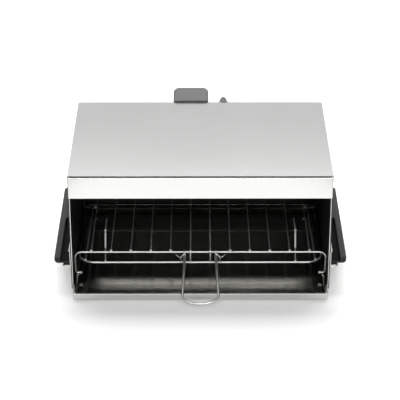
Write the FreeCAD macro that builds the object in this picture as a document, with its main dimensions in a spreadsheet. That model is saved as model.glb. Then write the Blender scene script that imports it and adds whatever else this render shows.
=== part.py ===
import FreeCAD, Part
import math
import os
import re

import Sketcher
from FreeCAD import Placement, Rotation, Vector

# Electric fish roaster: a sheet steel hood, open at the front, with sheathed heating
# elements under a reflector, a drip tray that slides in on the base, a wire rack that
# stands on the tray's rim and a wire handle that swings on the rack's front gate.
#
# Frame: +Z up, front faces -Y, origin on the table under the middle of the whole object.

os.makedirs("parts", exist_ok=True)
doc = FreeCAD.newDocument("fish_roaster")

# ---------------------------------------------------------------------------------------
# Driving dimensions, in millimetres and degrees
# ---------------------------------------------------------------------------------------
SIZES = [
    # hood
    ("body_width", 400.0), ("body_depth", 269.0), ("body_height", 200.0),
    ("sheet", 1.0), ("liner", 0.8), ("hem_width", 2.8), ("flange_width", 12.0),
    ("band_height", 38.5), ("band_return", 9.0), ("lip_drop", 2.6),
    ("rear_gap", 2.7), ("roof_drop", 32.0),
    ("foot_height", 3.0), ("foot_radius", 9.0), ("foot_inset", 34.0),
    ("screw_radius", 1.7), ("screw_head", 3.4), ("head_height", 2.0), ("screw_margin", 20.0),
    ("hole_clearance", 0.05), ("weld_gap", 0.02), ("slide_gap", 0.3),
    # heating
    ("heater_drop", 38.0), ("heater_radius", 3.25), ("heater_pitch", 22.2),
    ("rear_heater_setback", 40.5), ("heater_spacing", 99.5), ("bracket_width", 26.0),
    ("bracket_sheet", 1.2), ("bracket_margin", 19.4), ("bracket_drop", 12.0),
    ("bracket_rise", 16.0), ("bracket_tab", 10.0), ("reflector_overhang", 6.0),
    ("reflector_lip", 9.0), ("reflector_flare", 6.0), ("tube_stub", 11.0),
    ("bead_radius", 4.2), ("bead_length", 7.0), ("pin_radius", 1.2), ("pin_reach", 5.5),
    ("lead_radius", 1.1), ("lead_bend", 5.0), ("lead_spacing", 3.6), ("bush_radius", 4.5),
    ("bush_flange", 6.0), ("cutout_radius", 8.0), ("cutout_height", 7.0),
    # rear terminal box and cord gland
    ("box_width", 57.5), ("box_height", 72.0), ("box_depth", 47.5), ("box_wall", 2.0),
    ("box_x", -15.2), ("box_rise", 3.0), ("box_round", 5.0),
    ("cap_inset", 2.8), ("cap_depth", 7.87), ("cap_round", 4.0), ("cap_margin", 9.0),
    ("block_width", 36.0), ("block_depth", 16.0), ("block_height", 18.0),
    ("block_drop", 27.0), ("lead_hole", 6.0), ("lead_drop", 15.0),
    ("gland_x", 38.5), ("gland_drop", 10.0), ("gland_radius", 9.5), ("gland_base", 8.0),
    ("gland_length", 34.0), ("gland_tip", 4.2), ("gland_bore", 3.2), ("gland_neck", 6.0),
    ("nut_height", 4.0), ("nut_radius", 9.0),
    # side grips
    ("grip_length", 239.0), ("grip_setback", 7.5), ("grip_reach", 26.0),
    ("grip_rail", 13.3), ("grip_height", 10.0), ("grip_level", 44.0), ("grip_web", 3.0),
    ("grip_round", 5.0), ("strip_rise", 17.0), ("ledge_width", 9.0), ("tongue_length", 12.0),
    ("tongue_roll", 1.6), ("rivet_radius", 2.0), ("rivet_head", 4.0), ("rivet_inset", 14.0),
    # drip tray
    ("tray_clearance", 1.5), ("tray_back_gap", 2.2), ("tray_proud", 33.3),
    ("tray_height", 10.0), ("tray_wall", 0.8), ("tray_rim", 6.0), ("tray_lip", 3.0),
    ("tray_corner", 2.0),
    # roasting rack
    ("frame_radius", 1.5), ("wire_radius", 1.0), ("stay_radius", 1.2),
    ("gate_inset", 2.9), ("gate_height", 53.1), ("gate_setback", 28.5),
    ("gate_round", 12.0), ("foot_bend", 4.0), ("foot_reach", 6.1), ("foot_ball", 2.4),
    ("lower_bar", 18.4), ("lower_inset", 2.9), ("lower_round", 25.0), ("lower_end", 4.0),
    ("rear_gate_setback", 15.8), ("rear_gate_height", 39.5), ("rear_foot_past", 3.5),
    ("side_rod_inset", 10.7), ("wire_inset", 23.375), ("wire_overhang", 1.6),
    ("stay_inset", 45.1), ("stay_rise", 44.6), ("stay_lean", 22.0), ("stay_back", 48.0),
    ("stay_fall", 6.0), ("stay_bend", 5.0),
    # rack handle
    ("handle_radius", 2.1), ("handle_reach", 83.6), ("handle_top", 48.0),
    ("handle_width", 56.0), ("nose_depth", 14.5), ("nose_round", 44.0), ("handle_bend", 7.0),
    ("eye_clearance", 0.06),
    ("tail_splay", 6.6), ("tail_drop", 12.0), ("tail_length", 22.0), ("tail_bend", 4.0),
    ("tray_touch", 0.3),
]
WIRE_COUNT = 12

# What follows from the driving dimensions
PLACES = [
    ("half_width", "body_width / 2"),
    ("half_depth", "body_depth / 2"),
    ("side_face", "half_width + liner"),
    ("cavity_half", "side_face - hem_width"),
    ("cover_under", "body_height - sheet"),
    ("floor_top", "foot_height + sheet"),
    ("band_bottom", "body_height - band_height"),
    ("hem_front", "sheet - half_depth"),
    ("rear_inside", "half_depth - sheet"),
    ("liner_rear", "rear_inside - rear_gap"),
    ("liner_face", "liner_rear - liner"),
    ("roof_under", "body_height - roof_drop"),
    ("roof_top", "roof_under + liner"),
    ("heater_height", "roof_under - heater_drop"),
    ("rear_heater_y", "liner_face - rear_heater_setback"),
    ("front_heater_y", "rear_heater_y - heater_spacing"),
    ("bracket_front", "front_heater_y - heater_pitch / 2 - bracket_margin"),
    ("bracket_back", "rear_heater_y + heater_pitch / 2 + bracket_margin"),
    ("bracket_top", "heater_height + bracket_rise"),
    ("heater_reach", "cavity_half - bracket_width"),
    ("bracket_face", "heater_reach + bracket_sheet"),
    ("tube_end", "heater_reach + tube_stub"),
    ("bead_end", "tube_end + bead_length"),
    ("pin_end", "bead_end + pin_reach"),
    ("lead_x", "bead_end + lead_radius + 0.5"),
    ("lead_y", "bracket_back + lead_radius + 0.7"),
    ("lead_level", "body_height - lead_drop"),
    ("box_top", "body_height + box_rise"),
    ("box_bottom", "box_top - box_height"),
    ("box_back", "half_depth + box_depth"),
    ("gland_z", "body_height - gland_drop"),
    ("block_top", "box_top - block_drop"),
    ("grip_front", "grip_setback - half_depth"),
    ("grip_back", "grip_front + grip_length"),
    ("grip_outer", "side_face + grip_reach"),
    ("grip_inner", "grip_outer - grip_rail"),
    ("strip_face", "side_face + bracket_sheet"),
    ("strip_bottom", "grip_level - bracket_sheet"),
    ("strip_top", "grip_level + grip_height + strip_rise"),
    ("rivet_level", "grip_level + grip_height + strip_rise / 2"),
    ("tray_half", "cavity_half - tray_clearance"),
    ("tray_front", "-half_depth - tray_proud"),
    ("tray_back", "liner_face - tray_back_gap"),
    ("tray_base", "floor_top + slide_gap"),
    ("tray_top", "tray_base + tray_height"),
    ("gate_y", "gate_setback - half_depth"),
    ("rear_gate_y", "tray_back - rear_gate_setback"),
    ("gate_half", "tray_half - gate_inset"),
    ("lower_half", "gate_half - lower_inset"),
    ("rod_x", "lower_half - side_rod_inset"),
    ("stay_x", "gate_half - stay_inset"),
    ("foot_level", "tray_top + slide_gap + frame_radius"),
]

size_sheet = doc.addObject("Spreadsheet::Sheet", "Size")
place_sheet = doc.addObject("Spreadsheet::Sheet", "Place")
sheet_of = {}


def ref(text):
    """Write a formula's plain words as references to the sheets' cells."""
    def cell(word):
        name = word.group()
        return sheet_of[name] + "." + name if name in sheet_of else name
    return re.sub(r"[a-z_]+", cell, text)


for row, (name, number) in enumerate(SIZES, 1):
    size_sheet.set(f"A{row}", name)
    size_sheet.set(f"B{row}", str(number))
    size_sheet.setAlias(f"B{row}", name)
    sheet_of[name] = "Size"
for row, (name, formula) in enumerate(PLACES, 1):
    place_sheet.set(f"A{row}", name)
    place_sheet.set(f"B{row}", "=" + ref(formula))
    place_sheet.setAlias(f"B{row}", name)
    sheet_of[name] = "Place"
doc.recompute()


class Values:
    """The sheets' numbers, for the wire pieces that are swept along a path."""

    def __getattr__(self, name):
        return float(doc.getObject(sheet_of[name]).get(name))


v = Values()
nodes = {}


def node(label, solid):
    """Name a finished piece; its label is its file's name."""
    solid.Label = label
    nodes[label] = solid
    return solid


# ---------------------------------------------------------------------------------------
# Ways to make a piece
# ---------------------------------------------------------------------------------------
def box(name, x0, x1, y0, y1, z0, z1):
    """A block between two corners, each side a formula on the sheets."""
    solid = doc.addObject("Part::Box", name)
    for side, low, high in (("Length", x0, x1), ("Width", y0, y1), ("Height", z0, z1)):
        solid.setExpression(side, ref(f"({high}) - ({low})"))
    for axis, low in (("x", x0), ("y", y0), ("z", z0)):
        solid.setExpression("Placement.Base." + axis, ref(low))
    return solid


TURN = {"x": Rotation(Vector(0, 1, 0), 90), "y": Rotation(Vector(1, 0, 0), -90), "z": Rotation()}


def rod(name, axis, radius, length, x, y, z, tip=None):
    """A straight cylinder from a point along +X, +Y or +Z, or a cone when it has a tip radius."""
    solid = doc.addObject("Part::Cone" if tip else "Part::Cylinder", name)
    solid.Placement = Placement(Vector(), TURN[axis])
    if tip:
        solid.setExpression("Radius1", ref(radius))
        solid.setExpression("Radius2", ref(tip))
    else:
        solid.setExpression("Radius", ref(radius))
    solid.setExpression("Height", ref(length))
    for along, low in (("x", x), ("y", y), ("z", z)):
        solid.setExpression("Placement.Base." + along, ref(low))
    return solid


def fuse(name, solids):
    joined = doc.addObject("Part::MultiFuse", name)
    joined.Shapes = solids
    joined.Refine = True
    return joined


def cut(name, solid, tools):
    tool = tools[0] if len(tools) == 1 else group(name + "_tools", tools)
    result = doc.addObject("Part::Cut", name)
    result.Base = solid
    result.Tool = tool
    result.Refine = True
    return result


def group(name, solids):
    """Several like solids that are one node."""
    together = doc.addObject("Part::Compound", name)
    together.Links = solids
    return together


def mirror(name, solid):
    """The left-hand piece of a pair."""
    other = doc.addObject("Part::Mirroring", name)
    other.Source = solid
    other.Normal = Vector(1, 0, 0)
    return other


def fillet(name, solid, radius, wanted):
    """Round the edges that a test on an edge's midpoint and direction picks."""
    doc.recompute()
    rounded = doc.addObject("Part::Fillet", name)
    rounded.Base = solid
    picked = []
    for number, edge in enumerate(solid.Shape.Edges, 1):
        ends = edge.Vertexes
        if len(ends) == 2:
            run = (ends[1].Point - ends[0].Point).normalize()
            if wanted(edge.CenterOfMass, run):
                picked.append((number, radius, radius))
    rounded.Edges = picked
    return rounded


def sheet_profile(name, corners, width):
    """A bent sheet: a closed outline in the YZ plane, padded evenly to both sides of it."""
    body = doc.addObject("PartDesign::Body", name)
    sketch = body.newObject("Sketcher::SketchObject", name + "_outline")
    plane = [face for face in body.Origin.OriginFeatures if face.Role == "YZ_Plane"][0]
    sketch.AttachmentSupport = [(plane, "")]
    sketch.MapMode = "FlatFace"
    count = len(corners)
    start_radius = 50.0
    ring = []
    for step in range(count):
        turn = 2 * math.pi * step / count
        ring.append(Vector(start_radius * math.cos(turn), start_radius * math.sin(turn), 0))
    for step in range(count):
        sketch.addGeometry(Part.LineSegment(ring[step], ring[(step + 1) % count]), False)
    for step in range(count):
        sketch.addConstraint(
            Sketcher.Constraint("Coincident", step, 2, (step + 1) % count, 1))
    for step, (along_y, along_z) in enumerate(corners):
        for kind, formula, start in (("X", along_y, ring[step].x), ("Y", along_z, ring[step].y)):
            index = sketch.addConstraint(
                Sketcher.Constraint("Distance" + kind, -1, 1, step, 1, start))
            sketch.renameConstraint(index, f"{kind}{step}")
            sketch.setExpression(f"Constraints.{kind}{step}", ref(formula))
    pad = body.newObject("PartDesign::Pad", name + "_pad")
    pad.Profile = sketch
    pad.SideType = "Symmetric"
    pad.setExpression("Length", ref(width))
    body.Tip = pad
    return body


def bent_rod(points, bends, radius):
    """A round wire along straight runs joined by tangent arcs, one bend radius a corner."""
    edges = []
    start = points[0]
    for before, corner, after, bend in zip(points, points[1:], points[2:], bends):
        inward = (before - corner).normalize()
        outward = (after - corner).normalize()
        half = inward.getAngle(outward) / 2
        setback = bend / math.tan(half)
        middle = (inward + outward).normalize() * (bend / math.sin(half) - bend)
        arc_start = corner + inward * setback
        arc_end = corner + outward * setback
        if (arc_start - start).Length > 1e-6:
            edges.append(Part.LineSegment(start, arc_start).toShape())
        edges.append(Part.Arc(arc_start, corner + middle, arc_end).toShape())
        start = arc_end
    if (points[-1] - start).Length > 1e-6:
        edges.append(Part.LineSegment(start, points[-1]).toShape())
    path = Part.Wire(edges)
    ring = Part.Wire(Part.Circle(points[0], points[1] - points[0], radius).toShape())
    return path.makePipeShell([ring], True, True)


def feature(name, shape):
    """A piece swept or joined from wire, which Part's primitives don't make."""
    solid = doc.addObject("Part::Feature", name)
    solid.Shape = shape
    return solid


def flipped(points):
    return [Vector(-p.x, p.y, p.z) for p in points]



# ---------------------------------------------------------------------------------------
# Hood: top cover, front band, side panels, inner walls, rear panel, base and feet
# ---------------------------------------------------------------------------------------
# The top cover is one flat sheet whose front edge turns down over the band as a short lip.
node("top_cover", sheet_profile("top_cover", [
    ("-half_depth - liner", "body_height - lip_drop"),
    ("-half_depth - liner", "body_height"),
    ("half_depth", "body_height"),
    ("half_depth", "cover_under"),
    ("-half_depth", "cover_under"),
    ("-half_depth", "body_height - lip_drop"),
], "body_width"))

# The front band hangs from a tab under the cover and turns back into the hood at its foot.
band_reach = "cavity_half - slide_gap"
node("front_band", fuse("front_band", [
    box("band_face", "-half_width", "half_width", "-half_depth", "hem_front",
        "band_bottom", "cover_under"),
    box("band_tab", "-(" + band_reach + ")", band_reach, "hem_front", "flange_width - half_depth",
        "cover_under - sheet", "cover_under"),
    box("band_foot", "-(" + band_reach + ")", band_reach, "hem_front",
        "band_return - half_depth", "band_bottom", "band_bottom + sheet"),
]))

screw_spots = ["foot_height + screw_margin", "body_height / 2",
               "cover_under - screw_margin"]


def rear_holes(prefix, x):
    return [rod(f"{prefix}_{i}", "y", "screw_radius + hole_clearance", "4 * sheet", x,
                "half_depth - 3 * sheet", level) for i, level in enumerate(screw_spots)]


screw_x = "half_width - flange_width / 2"


def grip_holes(prefix, low, length, radius):
    """Cuts across the side panel or strip at the rivets, front, middle and rear."""
    return [rod(f"{prefix}_{i}", "x", radius, length, low, spot, "rivet_level")
            for i, spot in enumerate(rivet_spots)]


rivet_spots = ["grip_front + rivet_inset - 6", "(grip_front + grip_back) / 2",
               "grip_back - rivet_inset"]

# A side panel is a sheet with its front edge turned in as a hem and flanges at top and rear.
side_blank = fuse("side_blank", [
    box("side_sheet", "half_width", "side_face", "hem_front", "half_depth", "foot_height",
        "cover_under"),
    box("side_hem", "cavity_half", "half_width", "hem_front", "hem_front + liner", "floor_top",
        "cover_under"),
    box("side_top_flange", "half_width - flange_width", "half_width",
        "hem_front + flange_width", "rear_inside - liner", "cover_under - liner", "cover_under"),
    box("side_rear_flange", "half_width - flange_width", "half_width", "rear_inside - liner",
        "rear_inside", "floor_top", "cover_under"),
])
right_side = cut("right_side_panel", side_blank,
                 rear_holes("side_rear_hole", screw_x)
                 + grip_holes("side_grip_hole", "half_width - liner", "4 * liner",
                              "rivet_radius + hole_clearance"))
node("right_side_panel", right_side)
node("left_side_panel", mirror("left_side_panel", right_side))

right_wall = box("right_inner_wall", "cavity_half", "cavity_half + liner", "hem_front + liner",
                 "liner_face", "floor_top", "roof_under")
node("right_inner_wall", right_wall)
node("left_inner_wall", mirror("left_inner_wall", right_wall))
node("inner_rear_wall", box("inner_rear_wall", "-cavity_half - liner", "cavity_half + liner",
                            "liner_face", "liner_rear", "floor_top", "roof_top"))

# The roof closes the cavity over the reflector; both feed leads pass it through a bush.
bush_y = "lead_y + lead_spacing / 2"
node("cavity_roof", cut("cavity_roof", box(
    "roof_sheet", "-cavity_half - liner", "cavity_half + liner", "hem_front + liner",
    "liner_face", "roof_under", "roof_top"), [
    rod("roof_hole", "z", "bush_radius + hole_clearance", "4 * liner", "lead_x", bush_y,
        "roof_under - liner")]))
node("base_panel", box("base_panel", "-half_width", "half_width", "hem_front", "rear_inside",
                       "foot_height", "floor_top"))

rear_sheet = box("rear_sheet", "-half_width", "half_width", "rear_inside", "half_depth",
                 "foot_height", "cover_under")
node("rear_panel", cut("rear_panel", rear_sheet, [
    rod("rear_lead_hole", "y", "lead_hole", "4 * sheet", "box_x", "half_depth - 3 * sheet",
        "lead_level"),
    rod("rear_gland_hole", "y", "gland_neck + hole_clearance", "4 * sheet", "gland_x",
        "half_depth - 3 * sheet", "gland_z"),
] + rear_holes("rear_right_hole", screw_x) + rear_holes("rear_left_hole", "-(" + screw_x + ")")))

node("feet", group("feet", [
    rod(f"foot_{i}{k}", "z", "foot_radius", "foot_height", f"{side} * (half_width - foot_inset)",
        f"{end} * (half_depth - foot_inset)", "0")
    for i, side in enumerate((-1, 1)) for k, end in enumerate((-1, 1))]))


def housing_screw(name, x, level):
    head = rod(name + "_head", "y", "screw_head", "head_height", x, "half_depth", level)
    shank = rod(name + "_shank", "y", "screw_radius", "2 * sheet + liner", x,
                "rear_inside - liner - 0.2 * sheet", level)
    return fuse(name, [head, shank])


node("housing_screws", group("housing_screws", [
    housing_screw(f"housing_screw_{i}{k}", f"{side} * ({screw_x})", level)
    for i, side in enumerate((-1, 1)) for k, level in enumerate(screw_spots)]))

# ---------------------------------------------------------------------------------------
# Heating: brackets, reflector, two hairpin elements, their ends and leads
# ---------------------------------------------------------------------------------------
heater_rows = [f"{middle} {sign} heater_pitch / 2" for middle in
               ("front_heater_y", "rear_heater_y") for sign in "-+"]

bracket_blank = fuse("bracket_blank", [
    box("bracket_plate", "heater_reach", "bracket_face", "bracket_front", "bracket_back",
        "heater_height - bracket_drop", "bracket_top"),
    box("bracket_flange", "bracket_face", "cavity_half", "bracket_front", "bracket_back",
        "bracket_top - bracket_sheet", "bracket_top"),
    box("bracket_tab", "cavity_half - bracket_sheet", "cavity_half", "bracket_front",
        "bracket_back", "bracket_top - bracket_sheet - bracket_tab",
        "bracket_top - bracket_sheet"),
])
right_bracket = cut("right_heater_bracket", bracket_blank, [
    rod(f"bracket_hole_{i}", "x", "heater_radius + hole_clearance", "4 * bracket_sheet",
        "heater_reach - bracket_sheet", row, "heater_height")
    for i, row in enumerate(heater_rows)])
node("right_heater_bracket", right_bracket)
node("left_heater_bracket", mirror("left_heater_bracket", right_bracket))

# The reflector is a shallow trough, mouth down, that lies on both brackets.
node("heat_reflector", sheet_profile("heat_reflector", [
    ("bracket_front - 0.5 - liner - reflector_flare", "bracket_top - reflector_lip"),
    ("bracket_front - 0.5 - liner", "bracket_top + liner"),
    ("bracket_back + 0.5 + liner", "bracket_top + liner"),
    ("bracket_back + 0.5 + liner + reflector_flare", "bracket_top - reflector_lip"),
    ("bracket_back + 0.5 + reflector_flare", "bracket_top - reflector_lip"),
    ("bracket_back + 0.5", "bracket_top"),
    ("bracket_front - 0.5", "bracket_top"),
    ("bracket_front - 0.5 - reflector_flare", "bracket_top - reflector_lip"),
], "2 * (bracket_face + reflector_overhang)"))


def hairpin(middle):
    """One sheathed element: out, a half-round turn past the left bracket, and back."""
    near = middle - v.heater_pitch / 2
    far = middle + v.heater_pitch / 2
    turn_x = -v.bracket_face - v.heater_radius
    level = v.heater_height
    first = Vector(v.tube_end, near, level)
    edges = [
        Part.LineSegment(first, Vector(turn_x, near, level)).toShape(),
        Part.Arc(Vector(turn_x, near, level),
                 Vector(turn_x - v.heater_pitch / 2, middle, level),
                 Vector(turn_x, far, level)).toShape(),
        Part.LineSegment(Vector(turn_x, far, level), Vector(v.tube_end, far, level)).toShape(),
    ]
    ring = Part.Wire(Part.Circle(first, Vector(-1, 0, 0), v.heater_radius).toShape())
    return Part.Wire(edges).makePipeShell([ring], True, True)


node("front_heater", feature("front_heater", hairpin(v.front_heater_y)))
node("rear_heater", feature("rear_heater", hairpin(v.rear_heater_y)))

node("heater_beads", group("heater_beads", [
    cut(f"bead_{i}", rod(f"bead_body_{i}", "x", "bead_radius", "bead_length", "tube_end", row,
                         "heater_height"),
        [rod(f"bead_hole_{i}", "x", "pin_radius + hole_clearance", "bead_length + 2",
             "tube_end - 1", row, "heater_height")])
    for i, row in enumerate(heater_rows)]))
node("heater_pins", group("heater_pins", [
    rod(f"pin_{i}", "x", "pin_radius", "pin_end - tube_end", "tube_end", row, "heater_height")
    for i, row in enumerate(heater_rows)]))

# The elements are in series: a link joins the two middle pins, a lead leaves each outer one.
link_rise = "pin_radius + lead_radius + hole_clearance"
node("heater_link", rod("heater_link", "y", "lead_radius",
                        f"({heater_rows[2]}) - ({heater_rows[1]}) + 2 * pin_radius", "lead_x",
                        f"{heater_rows[1]} - pin_radius", f"heater_height + {link_rise}"))


def feed_lead(pin_y, side, sidestep):
    """From a pin along the right wall, up through the roof, across and into the rear box."""
    rise = side * (v.pin_radius + v.lead_radius + v.hole_clearance)
    up_y = v.lead_y + (v.lead_spacing if sidestep else 0)
    level = v.lead_level + (2 if sidestep else -2)
    x_in = v.box_x + (-2 if sidestep else 2)
    drop_y = v.half_depth + v.block_depth * 0.7
    return bent_rod([
        Vector(v.lead_x, pin_y - v.pin_radius, v.heater_height + rise),
        Vector(v.lead_x, up_y, v.heater_height + rise),
        Vector(v.lead_x, up_y, level),
        Vector(x_in, up_y, level),
        Vector(x_in, drop_y, level),
        Vector(x_in, drop_y, v.block_top + v.weld_gap),
    ], [v.lead_bend, v.lead_bend, v.lead_bend, v.lead_bend / 2], v.lead_radius)


last_pin = v.rear_heater_y + v.heater_pitch / 2
first_pin = v.front_heater_y - v.heater_pitch / 2
node("feed_leads", feature("feed_leads", Part.makeCompound([
    feed_lead(last_pin, 1, False), feed_lead(first_pin, -1, True)])))

bush_blank = fuse("bush_blank", [
    rod("bush_neck", "z", "bush_radius", "3 * liner", "lead_x", bush_y, "roof_top - 3 * liner"),
    rod("bush_head", "z", "bush_flange", "2 * liner", "lead_x", bush_y, "roof_top"),
])
node("lead_bush", cut("lead_bush", bush_blank, [
    rod(f"bush_hole_{i}", "z", "lead_radius + hole_clearance", "8 * liner", "lead_x", row,
        "roof_top - 4 * liner") for i, row in enumerate(("lead_y", "lead_y + lead_spacing"))]))

node("thermal_cutout", fuse("thermal_cutout", [
    rod("cutout_can", "z", "cutout_radius", "cutout_height", "heater_reach / 2", "0", "roof_top"),
    box("cutout_strap", "heater_reach / 2 - 2 * cutout_radius",
        "heater_reach / 2 + 2 * cutout_radius", "-cutout_radius * 0.7", "cutout_radius * 0.7",
        "roof_top", "roof_top + liner"),
]))

# ---------------------------------------------------------------------------------------
# Rear: terminal box with its cap and screws, terminal block, cord gland and nut
# ---------------------------------------------------------------------------------------
def runs_along_y(_, run):
    return abs(run.y) > 0.9


box_blank = box("box_blank", "box_x - box_width / 2", "box_x + box_width / 2", "half_depth",
                "box_back", "box_bottom", "box_top")
box_rounded = fillet("box_rounded", box_blank, v.box_round, runs_along_y)
box_screws = ["box_bottom + cap_inset + cap_margin", "box_top - cap_inset - cap_margin"]


def cap_cut(name, radius, start, length):
    return [rod(f"{name}_{i}", "y", radius, length, "box_x", start, level)
            for i, level in enumerate(box_screws)]


node("terminal_box", cut("terminal_box", box_rounded, [
    box("box_void", "box_x - box_width / 2 + box_wall", "box_x + box_width / 2 - box_wall",
        "half_depth - sheet", "box_back - box_wall", "box_bottom + box_wall",
        "box_top - box_wall"),
] + cap_cut("box_screw_hole", "screw_radius + hole_clearance", "box_back - 2 * box_wall",
            "3 * box_wall")))

cap_blank = box("cap_blank", "box_x - box_width / 2 + cap_inset",
                "box_x + box_width / 2 - cap_inset", "box_back", "box_back + cap_depth",
                "box_bottom + cap_inset", "box_top - cap_inset / 4")
cap_rounded = fillet("cap_rounded", cap_blank, v.cap_round, runs_along_y)
node("terminal_box_cap", cut("terminal_box_cap", cap_rounded, [
    group("cap_cuts", cap_cut("cap_bore", "screw_head + 4 * hole_clearance",
                              "box_back + cap_depth - head_height - 0.6", "cap_depth"))]
    + cap_cut("cap_hole", "screw_radius + hole_clearance", "box_back - 1", "cap_depth")))


def cap_screw(name, level):
    head = rod(name + "_head", "y", "screw_head", "head_height", "box_x",
               "box_back + cap_depth - head_height - 0.6", level)
    shank = rod(name + "_shank", "y", "screw_radius", "cap_depth + box_wall - head_height",
                "box_x", "box_back - box_wall", level)
    return fuse(name, [head, shank])


node("cap_screws", group("cap_screws", [
    cap_screw(f"cap_screw_{i}", level) for i, level in enumerate(box_screws)]))

node("terminal_block", box("terminal_block", "box_x - block_width / 2", "box_x + block_width / 2",
                           "half_depth", "half_depth + block_depth",
                           "block_top - block_height", "block_top"))

gland_blank = fuse("gland_blank", [
    rod("gland_neck_rod", "y", "gland_neck", "sheet + nut_height + 1", "gland_x",
        "rear_inside - nut_height - 1", "gland_z"),
    rod("gland_base_rod", "y", "gland_radius", "gland_base", "gland_x", "half_depth", "gland_z"),
    rod("gland_cone", "y", "gland_radius * 0.92", "gland_length - gland_base", "gland_x",
        "half_depth + gland_base", "gland_z", tip="gland_tip"),
])
node("cord_gland", cut("cord_gland", gland_blank, [
    rod("gland_bore_rod", "y", "gland_bore", "gland_length + 4 * nut_height", "gland_x",
        "rear_inside - 2 * nut_height", "gland_z")]))
node("gland_nut", cut("gland_nut", rod("nut_blank", "y", "nut_radius", "nut_height", "gland_x",
                                       "rear_inside - nut_height", "gland_z"), [
    rod("nut_hole", "y", "gland_neck + hole_clearance", "3 * nut_height", "gland_x",
        "rear_inside - 2 * nut_height", "gland_z")]))

# ---------------------------------------------------------------------------------------
# Side grips: a moulded rail on a steel strip that is riveted to the side panel
# ---------------------------------------------------------------------------------------
grip_screw_spots = ["grip_front + 3 * rivet_inset", "grip_back - 3 * rivet_inset"]
grip_screw_x = "strip_face + ledge_width / 2"


def grip_screw_cuts(name):
    return [rod(f"{name}_{i}", "z", "screw_radius + hole_clearance",
                "3 * bracket_sheet + grip_web", grip_screw_x, spot,
                "strip_bottom - bracket_sheet") for i, spot in enumerate(grip_screw_spots)]


rail = box("grip_rail_blank", "grip_inner", "grip_outer", "grip_front", "grip_back",
           "grip_level", "grip_level + grip_height")
outer_line = v.grip_outer - 0.1
upper_line = v.grip_level + v.grip_height - 0.1
rail_ends = fillet("grip_rail_ends", rail, v.grip_round,
                   lambda spot, run: abs(run.z) > 0.9 and spot.x > outer_line)
rail_soft = fillet("grip_rail_soft", rail_ends, v.grip_round * 0.3,
                   lambda spot, run: spot.z > upper_line)
right_grip = cut("right_grip", fuse("grip_blank", [
    rail_soft, box("grip_web_plate", "strip_face", "grip_inner", "grip_front + grip_round",
                   "grip_back - grip_round", "grip_level", "grip_level + grip_web")]),
    grip_screw_cuts("grip_hole"))
node("right_grip", right_grip)
node("left_grip", mirror("left_grip", right_grip))

strip_blank = fuse("strip_blank", [
    box("strip_plate", "side_face", "strip_face", "hem_front", "grip_back", "strip_bottom",
        "strip_top"),
    box("strip_ledge", "strip_face", "strip_face + ledge_width", "grip_front", "grip_back",
        "strip_bottom", "grip_level"),
    box("strip_tongue", "strip_face", "grip_inner", "hem_front", "hem_front + tongue_length",
        "strip_bottom", "grip_level"),
    rod("strip_roll", "y", "tongue_roll", "tongue_length", "grip_inner", "hem_front",
        "grip_level - tongue_roll"),
])
right_strip = cut("right_grip_strip", strip_blank,
                  grip_holes("strip_rivet_hole", "side_face - bracket_sheet",
                             "4 * bracket_sheet", "rivet_radius + hole_clearance")
                  + grip_screw_cuts("strip_screw_hole"))
node("right_grip_strip", right_strip)
node("left_grip_strip", mirror("left_grip_strip", right_strip))


def rivet(name, spot):
    head = rod(name + "_head", "x", "rivet_head", "head_height", "strip_face", spot,
               "rivet_level")
    shank = rod(name + "_shank", "x", "rivet_radius", "strip_face - half_width + liner / 2",
                "half_width - liner / 2", spot, "rivet_level")
    return fuse(name, [head, shank])


def grip_screw(name, spot):
    head = rod(name + "_head", "z", "screw_head", "head_height", grip_screw_x, spot,
               "strip_bottom - head_height")
    shank = rod(name + "_shank", "z", "screw_radius", "bracket_sheet + grip_web", grip_screw_x,
                spot, "strip_bottom")
    return fuse(name, [head, shank])


right_rivets = group("right_rivets", [
    rivet(f"rivet_{i}", spot) for i, spot in enumerate(rivet_spots)])
node("grip_rivets", group("grip_rivets", [right_rivets, mirror("left_rivets", right_rivets)]))
right_screws = group("right_grip_screws", [
    grip_screw(f"grip_screw_{i}", spot) for i, spot in enumerate(grip_screw_spots)])
node("grip_screws", group("grip_screws", [right_screws,
                                          mirror("left_grip_screws", right_screws)]))

# ---------------------------------------------------------------------------------------
# Drip tray: a folded pan with a turned-in rim that the rack stands on
# ---------------------------------------------------------------------------------------
tray_blank = box("tray_blank", "-tray_half", "tray_half", "tray_front", "tray_back",
                 "tray_base", "tray_top")
tray_rounded = fillet("tray_rounded", tray_blank, v.tray_corner,
                      lambda _, run: abs(run.z) > 0.9)
node("drip_tray", cut("drip_tray", tray_rounded, [
    fuse("tray_void", [
        box("tray_inside", "tray_wall - tray_half", "tray_half - tray_wall",
            "tray_front + tray_wall", "tray_back - tray_wall", "tray_base + tray_wall",
            "tray_top - tray_wall"),
        box("tray_mouth", "tray_rim - tray_half", "tray_half - tray_rim",
            "tray_front + tray_lip", "tray_back - tray_lip", "tray_base + 2 * tray_wall",
            "tray_top + tray_wall"),
    ])]))

# ---------------------------------------------------------------------------------------
# Roasting rack: front and rear gates, lower bar, side rods, grid wires and stays
# ---------------------------------------------------------------------------------------
def gate(y, top, foot_x):
    """An upside-down U of frame wire whose feet turn in and end in a ball."""
    right = [Vector(v.gate_half, y, top), Vector(v.gate_half, y, v.foot_level),
             Vector(foot_x, y, v.foot_level)]
    points = flipped(right)[::-1] + right
    bends = [v.foot_bend, v.gate_round, v.gate_round, v.foot_bend]
    wire = bent_rod(points, bends, v.frame_radius)
    balls = [Part.makeSphere(v.foot_ball, Vector(side * foot_x, y, v.foot_level))
             for side in (-1, 1)]
    return wire.fuse(balls).removeSplitter()


node("front_gate", feature("front_gate", gate(v.gate_y, v.gate_height,
                                              v.gate_half - v.foot_reach)))
node("rear_gate", feature("rear_gate", gate(v.rear_gate_y, v.rear_gate_height,
                                            v.rod_x - v.rear_foot_past)))

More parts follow.
